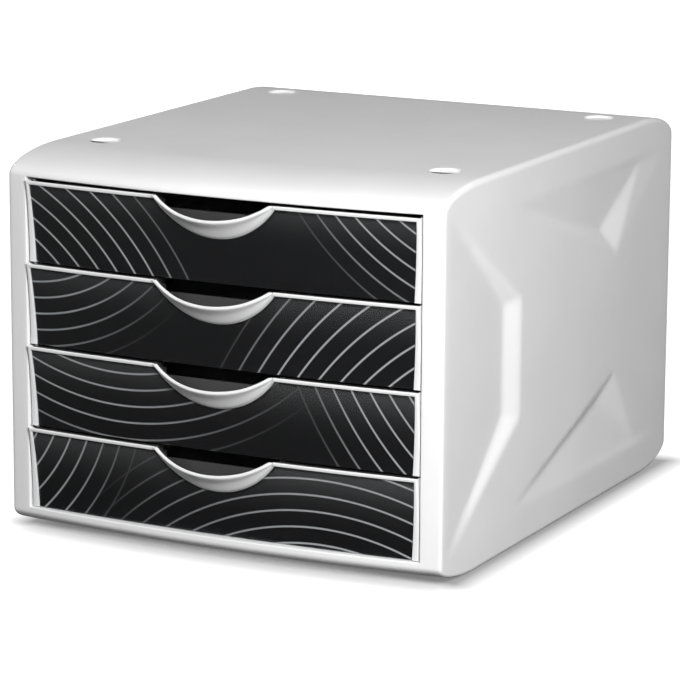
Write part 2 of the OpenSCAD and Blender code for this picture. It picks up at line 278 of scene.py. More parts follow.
def mixed(nt, a, b, factor):
    """The colour between a and b; a is a colour or a socket."""
    n = nt.nodes.new("ShaderNodeMix")
    n.data_type = "RGBA"
    if isinstance(a, tuple):
        n.inputs["A"].default_value = (*a, 1)
    else:
        nt.links.new(a, n.inputs["A"])
    n.inputs["B"].default_value = (*b, 1)
    nt.links.new(factor, n.inputs["Factor"])
    return n.outputs["Result"]


def bump(nt, height, strength, distance, normal=None):
    n = nt.nodes.new("ShaderNodeBump")
    n.inputs["Strength"].default_value = strength
    n.inputs["Distance"].default_value = distance
    nt.links.new(height, n.inputs["Height"])
    if normal is not None:
        nt.links.new(normal, n.inputs["Normal"])
    return n.outputs["Normal"]


def waves(nt):
    """The slight waves of a moulded clear sheet."""
    return bump(nt, noise(nt, object_point(nt), 30.0, 1.0), 0.06, 0.0004)


def mix_shaders(nt, factor, a, b):
    n = nt.nodes.new("ShaderNodeMixShader")
    for socket, v in zip(n.inputs, (factor, a, b)):
        nt.links.new(v, socket)
    return n.outputs[0]


def emission(nt, strength):
    n = nt.nodes.new("ShaderNodeEmission")
    nt.links.new(strength, n.inputs["Strength"])
    return n.outputs[0]


def seen_directly(nt, path):
    """1 for rays from the camera, also after they pass through something clear."""
    return maths(nt, "MAXIMUM", path.outputs["Is Camera Ray"], path.outputs["Is Transmission Ray"])


# ---------------------------------------------------------------- materials

CLEAR_IOR = 1.49


def plastic(name, low, high, rough, grain, grain_mm=0.35, wear=0.0):
    """Moulded plastic: low and high are its two tones, with a fine spark-eroded grain."""
    m, nt, bsdf, _ = principled(name)
    obj = object_point(nt)
    tone = noise(nt, obj, 14.0, 3.0, 0.55)
    color = mixed(nt, (low,) * 3, (high,) * 3, ranged(nt, tone, 0.0, 1.0, 0.35, 0.65))
    if wear:
        pointed = nt.nodes.new("ShaderNodeNewGeometry").outputs["Pointiness"]
        edge = ranged(nt, pointed, 0.0, 1.0, 0.52, 0.60)
        patch = ranged(nt, noise(nt, obj, 90.0, 4.0, 0.6), 0.0, 1.0, 0.45, 0.65)
        color = mixed(nt, color, (high * 1.05,) * 3, product(nt, edge, patch, wear))
    nt.links.new(color, bsdf.inputs["Base Color"])
    smear = noise(nt, obj, 33.0, 4.0, 0.6)
    nt.links.new(ranged(nt, smear, rough - 0.05, rough + 0.07, 0.3, 0.7), bsdf.inputs["Roughness"])
    fine = bump(nt, noise(nt, obj, 1000.0 / grain_mm, 2.0, 0.6), grain, 0.00004)
    nt.links.new(bump(nt, noise(nt, obj, 22.0), 0.12, 0.0006, fine), bsdf.inputs["Normal"])
    return m


HOUSING = plastic("housing_white", 0.80, 0.83, 0.36, 0.35, wear=0.5)
DRAWER = plastic("drawer_white", 0.76, 0.79, 0.34, 0.25, grain_mm=0.3)
INNER = plastic("inner_grey", 0.42, 0.46, 0.5, 0.6, grain_mm=0.5)
# painted shade: the finger pockets and the flanges behind the rims are white plastic, drawn near black
# because they lie in shadow
PAINTED_SHADE = plastic("painted_shade_dark", 0.045, 0.06, 0.45, 0.5)


def rubber():
    m, nt, bsdf, _ = principled("foot_rubber")
    obj = object_point(nt)
    dust = noise(nt, obj, 260.0, 5.0, 0.65)
    dusty = mixed(nt, (0.028, 0.028, 0.03), (0.06, 0.06, 0.062), ranged(nt, dust, 0.0, 1.0, 0.4, 0.75))
    nt.links.new(dusty, bsdf.inputs["Base Color"])
    nt.links.new(ranged(nt, dust, 0.7, 0.9), bsdf.inputs["Roughness"])
    nt.links.new(bump(nt, noise(nt, obj, 3000.0), 0.5, 0.0001), bsdf.inputs["Normal"])
    return m


RUBBER = rubber()

# The print on the cards: rings that spread from a few centres and fade out on the way.
# Each entry is centre x, centre z above the card's foot, spacing, first ring, last ring, level,
# and the two places across the card between which the rings fade in. All sizes are in mm.
RINGS = {
    1: ((-190.0, -96.0, 9.4, 104.0, 206.0, 0.42, 60.0, -20.0),
        (170.0, 120.0, 8.6, 74.0, 148.0, 0.38, 20.0, 84.0)),
    2: ((196.0, -104.0, 9.8, 112.0, 224.0, 0.42, -40.0, 30.0),
        (-120.0, 128.0, 9.0, 84.0, 142.0, 0.35, -20.0, -90.0)),
    3: ((-60.0, 170.0, 9.2, 124.0, 186.0, 0.39, 60.0, -60.0),
        (210.0, 100.0, 9.6, 84.0, 176.0, 0.42, 20.0, 80.0)),
    4: ((60.0, -130.0, 9.0, 132.0, 204.0, 0.40, -80.0, 50.0),
        (-200.0, 96.0, 9.8, 92.0, 168.0, 0.39, -30.0, -96.0)),
}
LINE_CORE, LINE_EDGE = 0.32, 0.66  # half a line's width, where it is full and where it ends
CARD_W, CARD_H = 240.0, 48.0  # what the card's UV map spans


def card_print(n):
    m, nt, bsdf, _ = principled(f"printed_card_{n}")
    uv = nt.nodes.new("ShaderNodeUVMap")
    uv.uv_map = "card"
    split = nt.nodes.new("ShaderNodeSeparateXYZ")
    nt.links.new(uv.outputs["UV"], split.inputs[0])
    x = maths(nt, "MULTIPLY_ADD", split.outputs["X"], CARD_W, -CARD_W / 2)
    z = product(nt, split.outputs["Y"], CARD_H)
    total = None
    for cx, cz, gap, first, last, level, x0, x1 in RINGS[n]:
        r = length(nt, maths(nt, "SUBTRACT", x, cx), maths(nt, "SUBTRACT", z, cz))
        away = maths(nt, "PINGPONG", maths(nt, "SUBTRACT", r, first), gap / 2)
        line = ranged(nt, away, 1.0, 0.0, LINE_CORE, LINE_EDGE)
        start = ranged(nt, r, 0.0, 1.0, first - gap / 2, first)
        end = ranged(nt, r, 1.0, 0.0, last - 3.0 * gap, last)
        side = ranged(nt, x, 0.0, 1.0, x0, x1) if x1 > x0 else ranged(nt, x, 1.0, 0.0, x1, x0)
        line = product(nt, line, start, end, side, level)
        total = line if total is None else maths(nt, "MAXIMUM", total, line)
    nt.links.new(mixed(nt, (0.0075, 0.0075, 0.008), (0.9, 0.9, 0.9), total), bsdf.inputs["Base Color"])
    place = nt.nodes.new("ShaderNodeCombineXYZ")
    nt.links.new(x, place.inputs[0])
    nt.links.new(z, place.inputs[1])
    nt.links.new(ranged(nt, noise(nt, place.outputs[0], 0.09), 0.36, 0.5), bsdf.inputs["Roughness"])
    bsdf.inputs["Specular IOR Level"].default_value = 0.12
    bsdf.inputs["Coat Weight"].default_value = 0.8
    bsdf.inputs["Coat Roughness"].default_value = 0.06
    bsdf.inputs["Coat IOR"].default_value = CLEAR_IOR
    nt.links.new(waves(nt), bsdf.inputs["Coat Normal"])
    return m


def clear():
    """Clear polystyrene: what is behind shows through, and its surface mirrors a little by Fresnel."""
    m, nt, out = new_material("clear_plastic")
    see = nt.nodes.new("ShaderNodeBsdfTransparent")
    see.inputs["Color"].default_value = (0.97, 0.975, 0.98, 1)
    gloss = nt.nodes.new("ShaderNodeBsdfGlossy")
    gloss.inputs["Color"].default_value = (1, 1, 1, 1)
    smear = noise(nt, object_point(nt), 28.0, 4.0, 0.6)
    nt.links.new(ranged(nt, smear, 0.035, 0.09, 0.35, 0.7), gloss.inputs["Roughness"])
    nt.links.new(waves(nt), gloss.inputs["Normal"])
    fresnel = nt.nodes.new("ShaderNodeFresnel")
    fresnel.inputs["IOR"].default_value = CLEAR_IOR
    inside = nt.nodes.new("ShaderNodeNewGeometry").outputs["Backfacing"]
    share = product(nt, fresnel.outputs[0], ranged(nt, inside, 0.2, 0.0))
    nt.links.new(mix_shaders(nt, share, see.outputs[0], gloss.outputs[0]), out.inputs[0])
    return m


CLEAR = clear()

# ---------------------------------------------------------------- the sides' relief

CELL = 0.5
GRID_Y = np.arange(-150.0, 168.0, CELL)
GRID_Z = np.arange(0.0, 214.0, CELL)
SIDE_MID = (SHELL_Z + TOP_Z) / 2
SIDE_HALF = (TOP_Z - SHELL_Z) / 2
RELIEF_DEEP = 5.0


def facet(depth, pts, tri):
    """Raises depth inside one triangle to the plane through its three points (y, z, depth)."""
    (ay, az, ad), (by, bz, bd), (cy, cz, cd) = (pts[i] for i in tri)
    yy, zz = np.meshgrid(GRID_Y, GRID_Z, indexing="ij")
    det = (bz - cz) * (ay - cy) + (cy - by) * (az - cz)
    u = ((bz - cz) * (yy - cy) + (cy - by) * (zz - cz)) / det
    v = ((cz - az) * (yy - cy) + (ay - cy) * (zz - cz)) / det
    w = 1 - u - v
    inside = (u >= -1e-9) & (v >= -1e-9) & (w >= -1e-9)
    np.copyto(depth, np.maximum(depth, u * ad + v * bd + w * cd), where=inside)


def blurred(a, sigma):
    k = np.exp(-0.5 * (np.arange(-4 * sigma, 4 * sigma + CELL / 2, CELL) / sigma) ** 2)
    k /= k.sum()
    for axis in (0, 1):
        a = np.apply_along_axis(lambda r: np.convolve(r, k, "same"), axis, a)
    return a


def relief_map():
    """How deep a side is pressed in: one field behind the front, one under the top, one over the base."""
    d = np.zeros((len(GRID_Y), len(GRID_Z)))
    y0, y1 = CORNER_Y + 6, CORNER_Y + 97
    h0, h1 = SIDE_HALF - 14, 33.0
    pts = [(y0, SIDE_MID + h0, 0), (y1, SIDE_MID + h1, 0), (y1, SIDE_MID - h1, 0), (y0, SIDE_MID - h0, 0),
           (y1 - 13, SIDE_MID + h1 - 2.5, RELIEF_DEEP), (y1 - 13, SIDE_MID - h1 + 2.5, RELIEF_DEEP)]
    for t in ((0, 3, 5), (0, 5, 4), (0, 4, 1), (3, 2, 5), (1, 4, 5), (1, 5, 2)):
        facet(d, pts, t)
    for s in (1, -1):
        far = SIDE_MID + s * (SIDE_HALF - 22)
        tip = SIDE_MID + s * 35
        y = BACK_Y - 83
        pts = [(CORNER_Y + 88, far, 0), (y, tip, 0), (BACK_Y - 17, far, 0),
               (BACK_Y - 48, far, RELIEF_DEEP / 6), (y - 15, tip + s * 15, RELIEF_DEEP)]
        for t in ((0, 1, 4), (1, 2, 3), (1, 3, 4), (0, 4, 3), (0, 3, 2)):
            facet(d, pts, t)
    return blurred(d, 1.0)


RELIEF = relief_map()


def relief(y, z):
    fy = np.clip((y - GRID_Y[0]) / CELL, 0, len(GRID_Y) - 1.001)
    fz = np.clip((z - GRID_Z[0]) / CELL, 0, len(GRID_Z) - 1.001)
    i, j = fy.astype(int), fz.astype(int)
    a, b = fy - i, fz - j
    return (RELIEF[i, j] * (1 - a) * (1 - b) + RELIEF[i + 1, j] * a * (1 - b)
            + RELIEF[i, j + 1] * (1 - a) * b + RELIEF[i + 1, j + 1] * a * b)


# ---------------------------------------------------------------- the housing's skin
#
# The skin is a closed outline in Y and Z, drawn across X with the front part following the bow,
# and two side walls. The outline starts at the heel's middle and runs under the base to the front.


def outline(inset, n_half, top, bottom, front, back):
    """Rows of y, z, outward normal, bow share, edge radius; and the four corners' row numbers.

    top, bottom, front and back are each the breaks along a straight stretch and the steps between
    them, and n_half is the steps of half an oval."""
    rows = []

    def arc(oval, angles, share, radius):
        cy, cz, ry, rz = oval
        for a in angles:
            c, s = math.cos(math.radians(a)), math.sin(math.radians(a))
            nrm = np.array([c / ry, s / rz])
            nrm /= np.linalg.norm(nrm)
            rows.append([cy + (ry - inset) * c, cz + (rz - inset) * s, *nrm, share, radius])

    def half(a0, a1):
        return spread([a0, a1], [n_half])

    def along_y(z, stretch, nrm, radius):
        for y in spread(*stretch):
            rows.append([y, z, *nrm, float(1 - smooth(BROW[0], BOW_END, y)), radius])

    def along_z(y, stretch, nrm, share, radius):
        for z in spread(*stretch):
            rows.append([y, z, *nrm, share, radius])

    marks = [0]
    arc(HEEL, half(-45, -90), 0.0, 2.2)
    along_y(SHELL_Z + inset, bottom, (0, -1), 2.2)
    arc(TOE, half(270, 225), 1.0, 2.0)
    marks.append(len(rows) - 1)
    arc(TOE, half(225, 180), 1.0, 1.8)
    along_z(FRONT_Y + inset, front, (-1, 0), 1.0, 1.7)
    arc(BROW, half(180, 135), 1.0, 2.3)
    marks.append(len(rows) - 1)
    arc(BROW, half(135, 90), 1.0, 3.0)
    along_y(TOP_Z - inset, top, (0, 1), 3.1)
    # the rear dimples reach over the crown's start, so a row runs along their block
    split = math.degrees(math.acos((FOOT_Y[1] + DIMPLE_BLOCK - CROWN[0]) / CROWN[2]))
    k = n_half // 3
    arc(CROWN, spread([90, split, 45], [k, n_half - k]), 0.0, 3.1)
    marks.append(len(rows) - 1)
    arc(CROWN, half(45, 0), 0.0, 3.0)
    along_z(BACK_Y - inset, back, (1, 0), 0.0, 2.8)
    arc(HEEL, half(0, -45), 0.0, 2.4)

    # double rows go, and so does the last one, which is the first
    rows = np.array(rows)
    keep = np.ones(len(rows), bool)
    keep[1:] = np.hypot(*(rows[1:, :2] - rows[:-1, :2]).T) > 1e-6
    new = np.cumsum(keep) - 1
    rows = rows[keep][:-1]
    r = rows[:, 5]
    for _ in range(12):
        r = (np.roll(r, 1) + 2 * r + np.roll(r, -1)) / 4
    rows[:, 5] = r
    return rows, [int(new[m]) for m in marks]


def bowed(rows, x, push=0.0):
    """Points of the outline at x, moved inwards by push."""
    x = np.broadcast_to(np.asarray(x, float), len(rows))
    rho = ARC_Y - rows[:, 0]
    y = rows[:, 0] - push * rows[:, 2] + rows[:, 4] * (rho - np.sqrt(rho**2 - x * x))
    return np.stack([x, y, rows[:, 1] - push * rows[:, 3]], 1)


class Skin:
    """The outer skin as a grid of the outline's rows and of places across X, less some blocks."""

    def __init__(self, rows, xs):
        r = rows[:, 5]
        left = []
        for t in np.radians([90, 75, 60, 45, 30, 15, 0]):
            left.append(bowed(rows, -(HALF_W - r + r * np.sin(t)), r * (1 - np.cos(t))))
        mid = [bowed(rows, x) for x in xs]
        right = [c * MIRROR for c in left[::-1]]
        grid = np.stack(left + mid + right, 1)
        self.rows, self.xs, self.pad = rows, xs, len(left)
        self.edge = grid[:, -1]
        self.ring = np.concatenate([grid, grid[:1]])
        self.keep = np.ones((len(rows), grid.shape[1] - 1), bool)

    def row_at(self, kind, value):
        """The outline's row on the front, back, top or base nearest to a height or place."""
        y, z, ny, nz = self.rows[:, :4].T
        side = {"front": ny < -0.9, "back": ny > 0.9, "top": nz > 0.9, "base": nz < -0.9}[kind]
        v = z if kind in ("front", "back") else y
        return int(np.where(side, np.abs(v - value), 1e9).argmin())

    def col_at(self, x):
        return self.pad + int(np.abs(self.xs - x).argmin())

    def hole(self, kind, a, b, x0, x1):
        """Takes a block of quads out, and gives the points round it in order."""
        i0, i1 = sorted((self.row_at(kind, a), self.row_at(kind, b)))
        j0, j1 = self.col_at(x0), self.col_at(x1)
        self.keep[i0:i1, j0:j1] = False
        pairs = [(i0, j) for j in range(j0, j1)] + [(i, j1) for i in range(i0, i1)]
        pairs += [(i1, j) for j in range(j1, j0, -1)] + [(i, j0) for i in range(i1, i0, -1)]
        return np.array([self.ring[i, j] for i, j in pairs])


def line_front(parts, skin):
    """The front opening, with a small round at its edge and a lining behind."""
    e = EDGE_R
    border = skin.hole("front", SILL_Z - e, HEAD_Z + e, -(OPEN_X + e), OPEN_X + e)
    rings = []
    for t in QUARTER:
        k, back = e * math.sin(t), e * (1 - math.cos(t))
        x = np.clip(border[:, 0], -(OPEN_X + e - k), OPEN_X + e - k)
        z = np.clip(border[:, 2], SILL_Z - e + k, HEAD_Z + e - k)
        y = ARC_Y - np.sqrt(BOW_R**2 - x**2) + back if t else border[:, 1]
        rings.append(np.stack([x, y, z], 1))
    x, y, z = rings[-1].T
    for depth in (4.0, 13.4):
        rings.append(np.stack([x, np.maximum(CORNER_Y + depth, y + 0.1), z], 1))
    # the lining's end turns outwards and runs forward again
    for d in (0.5, 2.0):
        wide = np.where(np.abs(x) > OPEN_X - 0.01, x + np.sign(x) * d, x)
        high = np.where(z < SILL_Z + 0.01, z - d, np.where(z > HEAD_Z - 0.01, z + d, z))
        rings.append(np.stack([wide, np.full(len(x), LINING_Y), high], 1))
    rings.append(np.stack([wide, ARC_Y - np.sqrt((BOW_R - 1.5) ** 2 - wide**2), high], 1))
    parts.loft(rings)


def line_hole(parts, skin, kind, a, b, half, axis, inwards):
    """An opening from a to b along an axis, with a small round at its edge."""
    e = EDGE_R
    border = skin.hole(kind, a, b, -half, half)
    mid_v, half_v = (a + b) / 2, abs(a - b) / 2

    def ring(t, deep):
        k = e * math.sin(t)
        p = border.copy()
        p[:, 0] = np.clip(p[:, 0], -(half - k), half - k)
        p[:, axis] = mid_v + np.clip(p[:, axis] - mid_v, -(half_v - k), half_v - k)
        p[:, 3 - axis] += inwards * deep
        return p

    rings = [ring(t, e * (1 - math.cos(t))) for t in np.radians([0, 30, 60, 90])]
    parts.loft(rings + [ring(math.pi / 2, WALL)])


def dimple(parts, skin, cx, cy):
    """A round dimple in the top. The rear ones cut into the crown's slope."""
    block = DIMPLE_BLOCK
    border = skin.hole("top", cy - block, cy + block, cx - block, cx + block)
    dx, dy = border[:, 0] - cx, border[:, 1] - cy
    ang, far = np.arctan2(dy, dx), np.hypot(dy, dx)

    def ring(r, drop, follow=False):
        """A ring so far below the top's skin, or else below its flat part."""
        x, y = cx + r * np.cos(ang), cy + r * np.sin(ang)
        z = np.full(len(x), TOP_Z)
        if follow:
            oy, oz, ry, rz = CROWN
            z = np.where(y > oy, oz + rz * np.sqrt(np.clip(1 - ((y - oy) / ry) ** 2, 0, 1)), z)
        return np.stack([x, y, z - drop], 1)

    lip, foot = 0.8, 0.7  # the rounds at its edge and at its floor
    rim = DIMPLE_R + lip
    rings = [border]
    rings += [ring(far * (1 - s) + rim * s, 0.0, True) for s in (0.35, 0.7)]
    rings += [ring(rim - lip * math.sin(t), lip * (1 - math.cos(t)), True) for t in QUARTER]
    rings.append(ring(DIMPLE_R, 1.1))
    for t in np.radians([30, 60, 90]):
        rings.append(ring(DIMPLE_R - foot * (1 - math.cos(t)), 1.1 + 0.4 * math.sin(t)))
    for r in (6.5, 4.5, 2.5, 1.0):
        rings.append(ring(r, DIMPLE_DEEP - 0.5 * (r / (DIMPLE_R - foot)) ** 2))
    parts.loft(rings, cap1=True)


def side_walls(parts, edge, marks):
    """The two side walls, spanned inside the skin's last outline and pressed in by the relief."""
    m0, m1, m2, m3 = marks
    base_p = edge[m0:m1 + 1][::-1]
    front_p = edge[m1:m2 + 1]
    top_p = edge[m2:m3 + 1]
    back_p = np.concatenate([edge[m3:], edge[:1]])[::-1]
    assert len(base_p) == len(top_p) and len(front_p) == len(back_p)
    u = np.linspace(0, 1, len(top_p))[None, :, None]
    v = np.linspace(0, 1, len(front_p))[:, None, None]
    patch = ((1 - v) * base_p[None] + v * top_p[None] + (1 - u) * front_p[:, None] + u * back_p[:, None]
             - (1 - u) * (1 - v) * base_p[0] - u * (1 - v) * base_p[-1]
             - (1 - u) * v * top_p[0] - u * v * top_p[-1])
    patch[..., 0] = HALF_W - relief(patch[..., 1], patch[..., 2])
    patch[0], patch[-1], patch[:, 0], patch[:, -1] = base_p, top_p, front_p, back_p
    parts.grid(patch)
    parts.grid(patch * MIRROR)


def inner_skin(parts):
    """What the shell shows on its inside, coarser than the outer skin."""
    rows, _ = outline(
        WALL, 4,
        ([BROW[0], -60, BOW_END, CROWN[0]], [3, 4, 4]),
        ([HEEL[0], BASE_REAR, BASE_FRONT, TOE[0]], [2, 8, 3]),
        ([TOE[1], SILL_Z - 2, BROW[1]], [2, 6]),
        ([CROWN[1], BACK_HIGH, BACK_LOW, HEEL[1]], [1, 6, 1]))
    xs = both_ways(spread([0, BASE_X, OPEN_X + 2, HALF_W - WALL], [6, 3, 1]))
    skin = np.stack([bowed(rows, x) for x in xs], 1)
    skin = np.concatenate([skin, skin[:1]])
    x, y, z = np.moveaxis((skin[1:, :-1] + skin[:-1, :-1] + skin[1:, 1:] + skin[:-1, 1:]) / 4, 2, 0)
    front_hole = (np.abs(x) < OPEN_X + 2) & (y < -130) & (z > SILL_Z - 2) & (z < BROW[1])
    back_hole = (np.abs(x) < OPEN_X + 2) & (y > 162) & (z > BACK_LOW) & (z < BACK_HIGH)
    base_hole = (np.abs(x) < BASE_X) & (z < 4.2) & (y > BASE_FRONT) & (y < BASE_REAR)
    parts.grid(skin, keep=~(front_hole | back_hole | base_hole))

    # the insides of the side walls, cut off where they would pass the outline: y, and z there
    low_at = ([-145, -143, -136, -121, -102, 125, 150, 166], [15, 12.0, 7.9, 5.2, 4, 4, 6.5, 14])
    high_at = ([-160, -146, -130, -109, 123, 150, 166], [198, 203, 207, 209.5, 209.5, 205.5, 196])
    end = skin[:-1, -1]
    yy = np.linspace(end[:, 1].min(), end[:, 1].max(), 60)
    zz = np.linspace(end[:, 2].min(), end[:, 2].max(), 44)
    y, z = np.meshgrid(yy, zz, indexing="ij")
    wall = np.stack([HALF_W - WALL - relief(y, z), y, z], 2)
    cy, cz = (y[1:, :-1] + y[:-1, :-1]) / 2, (z[:-1, 1:] + z[:-1, :-1]) / 2
    keep = (cz > np.interp(cy, *low_at)) & (cz < np.interp(cy, *high_at))
    parts.grid(wall, keep=keep)
    parts.grid(wall * MIRROR, keep=keep)


def build_housing():
    parts = Parts()
    e, block = EDGE_R, DIMPLE_BLOCK
    front_foot, rear_foot = FOOT_Y
    rows, marks = outline(
        0.0, 9,
        ([BROW[0], front_foot - block, front_foot + block, rear_foot - block, CROWN[0]], [4, 12, 92, 8]),
        ([HEEL[0], BASE_REAR + e, BASE_FRONT - e, TOE[0]], [12, 92, 12]),
        ([TOE[1], SILL_Z - e, BROW[1]], [4, 84]),
        ([CROWN[1], BACK_HIGH + e, BACK_LOW - e, HEEL[1]], [4, 80, 4]))
    half = spread([0, BASE_X + e, FOOT_X - block, FOOT_X + block, OPEN_X + e, FLAT_X], [17, 3, 12, 2, 3])
    skin = Skin(rows, both_ways(half))
    line_front(parts, skin)
    line_hole(parts, skin, "back", BACK_HIGH + e, BACK_LOW - e, OPEN_X + e, 2, -1)
    line_hole(parts, skin, "base", BASE_REAR + e, BASE_FRONT - e, BASE_X + e, 1, 1)
    for cx in (-FOOT_X, FOOT_X):
        for cy in FOOT_Y:
            dimple(parts, skin, cx, cy)
    parts.grid(skin.ring, keep=skin.keep)
    side_walls(parts, skin.edge, marks)
    inner_skin(parts)

    ob = parts.make("housing", [HOUSING], angle=50)
    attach(ob, "housing")
    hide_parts("housing_shell")


build_housing()

# ---------------------------------------------------------------- feet


def build_foot(name, x, y):
    """A round pad with a groove, as rings of a radius and a height."""
    parts = Parts()
    ang = np.linspace(0, 2 * math.pi, 49)[:-1]
    profile = [(0.6, 0.25), (2.4, 0.18), (4.2, 0.12), (4.7, 0.5), (5.3, 0.5), (5.8, 0.06),
               (6.6, 0.0), (7.3, 0.06), (7.8, 0.3), (8.0, 0.7), (FOOT_R, 1.2), (FOOT_R, 2.3),
               (7.9, 2.5), (4.0, 2.5), (0.6, 2.5)]
    rings = [np.stack([x + r * np.cos(ang), y + r * np.sin(ang), np.full(48, z)], 1) for r, z in profile]
    parts.loft(rings, cap0=True, cap1=True)
    ob = parts.make(name + "_pad", [RUBBER])
    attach(ob, "housing")
    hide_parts(name)


for side, sx in (("left", -1), ("right", 1)):
    for row, fy in (("front", FOOT_Y[0]), ("rear", FOOT_Y[1])):
        build_foot(f"foot_{row}_{side}", sx * FOOT_X, fy)

# ---------------------------------------------------------------- drawers
#
# The grip is a slanting tube that cuts the front surface. Its frame is across, up and along.

X_AX = np.array([1.0, 0, 0])
Y_AX = np.array([0, math.sin(TILT), math.cos(TILT)])
T_AX = np.array([0, -math.cos(TILT), math.sin(TILT)])


def tube(n, r, phi, t):
    """A point on the grip's tube of radius r: phi round it, t along it, towards the front."""
    base = np.array([0, FRONT_Y + GRIP_FALL, front_z(n)[1] - GRIP_H])
    side, rise = r * np.sin(phi), GRIP_R - r * np.cos(phi)
    return base + side[:, None] * X_AX + rise[:, None] * Y_AX + t[:, None] * T_AX


def tube_on_front(n, r, phi, depth):
    """How far along the tube the front surface lies."""
    lo, hi = np.full(len(phi), -40.0), np.full(len(phi), 40.0)
    for _ in range(40):
        mid = (lo + hi) / 2
        p = tube(n, r, phi, mid)
        behind = p[:, 1] > surface_y(p[:, 0], p[:, 2], depth, n)
        lo, hi = np.where(behind, mid, lo), np.where(behind, hi, mid)
    return mid


def tube_on_edge(n, r, phi):
    """How far along the tube the plane of the lip's edge lies."""
    k = LIP_DROP / PROUD
    p = tube(n, r, phi, np.zeros(len(phi)))
    return (k * (p[:, 1] - FRONT_Y) - (p[:, 2] - front_z(n)[1])) / (T_AX[2] - k * T_AX[1])


def window_half(n, z):
    """Half the width of the cover's window, which narrows towards its foot."""
    z0, z1 = front_z(n)
    return FRONT_HALF - MARGIN - TAPER * (z1 - RIM_H - z) / (z1 - RIM_H - z0)


def build_lip(parts, n):
    """The lip: each section runs from inside the pocket, over the edge, down to the cover."""
    z1 = front_z(n)[1]
    tip = math.asin((GRIP_HALF - 0.2) / GRIP_R)
    phis = np.linspace(-tip, tip, 97)
    t_front = tube_on_front(n, GRIP_R, phis, 0.0)
    t_edge = tube_on_edge(n, GRIP_R, phis) - EDGE_CUT * smooth(tip, 0.45 * tip, np.abs(phis))
    thick = np.clip((GRIP_HALF - np.abs(GRIP_R * np.sin(phis))) / 6.0, 0.25, 1.0)
    half_t = LIP_T / 2
    t_round = np.maximum(t_edge - half_t * thick, t_front)
    run = t_round - t_front
    sections = []

    def section(r, t):
        p = tube(n, r, phis, t)
        p[:, 2] = np.minimum(p[:, 2], z1)
        sections.append(p)

    for t in (t_front - 8.0, t_front - 2.0, np.maximum(t_front - 2.0, (t_front + t_edge) / 2 - 1.0)):
        section(GRIP_R - LIP_T, t)
    for a in np.radians([0, 30, 60, 90, 120, 150, 180]):
        section(GRIP_R - half_t - half_t * math.cos(a), t_round + half_t * thick * math.sin(a))
    # the outside is slightly hollow, with a bead along its foot
    for share, hollow in ((0.82, 0.25), (0.62, 0.5), (0.42, 0.55), (0.24, 0.3)):
        section(GRIP_R - hollow * thick * np.clip(run / 6, 0, 1),
                t_front + thick + share * np.maximum(run - 1.0, 0))
    for a in np.radians([60, 105, 150]):
        section(GRIP_R + 0.35 * thick * math.sin(a) ** 0.5, t_front + 0.75 * math.cos(a))
    for t in (t_front - 0.75, t_front - 2.2):
        section(GRIP_R, t)
    parts.grid(sections)


def build_rim(parts, n, s):
    """The rim over the cover and the margin beside it, on the side s of the grip, and a flange behind."""
    z0, z1 = front_z(n)
    zw = z1 - RIM_H
    xs = np.concatenate([np.linspace(GRIP_HALF - 0.5, 44, 6), np.linspace(46, FRONT_HALF - 4, 24),
                         [FRONT_HALF - 2.2]])
    path = [((x, z1), (x, zw), 1.0) for x in xs]
    path.append(((FRONT_HALF, z1), (FRONT_HALF - MARGIN, zw), 0.0))
    for z in (*np.linspace(zw - 0.5, z0 + 0.3, 22), z0):
        path.append(((FRONT_HALF, z), (window_half(n, z), z), 0.0))
    sections = []
    for outer, inner, start in path:
        outer, inner = np.array(outer), np.array(inner)
        w = np.linalg.norm(inner - outer)
        r1, r2 = min(0.8, w * 0.42), min(0.3, w * 0.2)
        # each point is a way from the outer line to the inner one, and a depth
        steps = [(start, FACE_D[1]), (start, 1.7)]
        steps += [(r1 * (1 - math.cos(a)), RIM_D + r1 * (1 - math.sin(a))) for a in QUARTER]
        steps.append((w / 2, RIM_D))
        for a in np.radians([0, 45, 90]):
            steps.append((w - r2 * (1 - math.sin(a)), RIM_D + r2 * (1 - math.cos(a))))
        steps.append((w, FACE_D[0]))
        section = []
        for way, depth in steps:
            x, z = outer + (inner - outer) * (way / w)
            section.append([s * x, surface_y(x, z, depth, n), z])
        sections.append(section)
    parts.grid(sections)

    def flange(x):
        back, high, low = TRAY_Y0 + 2.0, z1 - 1.0, z1 - 2.6
        front_high, front_low = (surface_y(x, z, 4.1, n) for z in (high, low))
        loop = ((front_high, high), (back, high), (back, low), (front_low, low))
        return [[s * x, y, z] for y, z in loop]

    # the flange takes material 1, painted shade for the dark gap above the rim
    parts.grid([flange(x) for x in (*xs, FRONT_HALF - 0.2)], 1)


def build_plate(parts, n):
    """The moulding's plate behind the card: two faces, and the strips that close them."""
    z0, z1 = front_z(n)
    under_grip = z1 - GRIP_H - 3.2

    def face(xs, rows):
        """A grid across xs, with a height and a depth for each row."""
        parts.grid([[[x, surface_y(x, z, depth, n), z] for x in xs] for z, depth in rows])

    across = np.linspace(-FRONT_HALF + 0.1, FRONT_HALF - 0.1, 61)
    beside = np.linspace(GRIP_HALF + 0.6, FRONT_HALF - 0.1, 22)
    for depth in FACE_D:
        face(across, [(z, depth) for z in np.linspace(z0, under_grip, 10)])
        for s in (-1, 1):
            face(s * beside, [(z, depth) for z in np.linspace(under_grip - 0.2, z1 - 1.2, 7)])
    face(across, [(z0, depth) for depth in FACE_D])
    face(np.linspace(-GRIP_HALF, GRIP_HALF, 25), [(under_grip, depth) for depth in FACE_D])


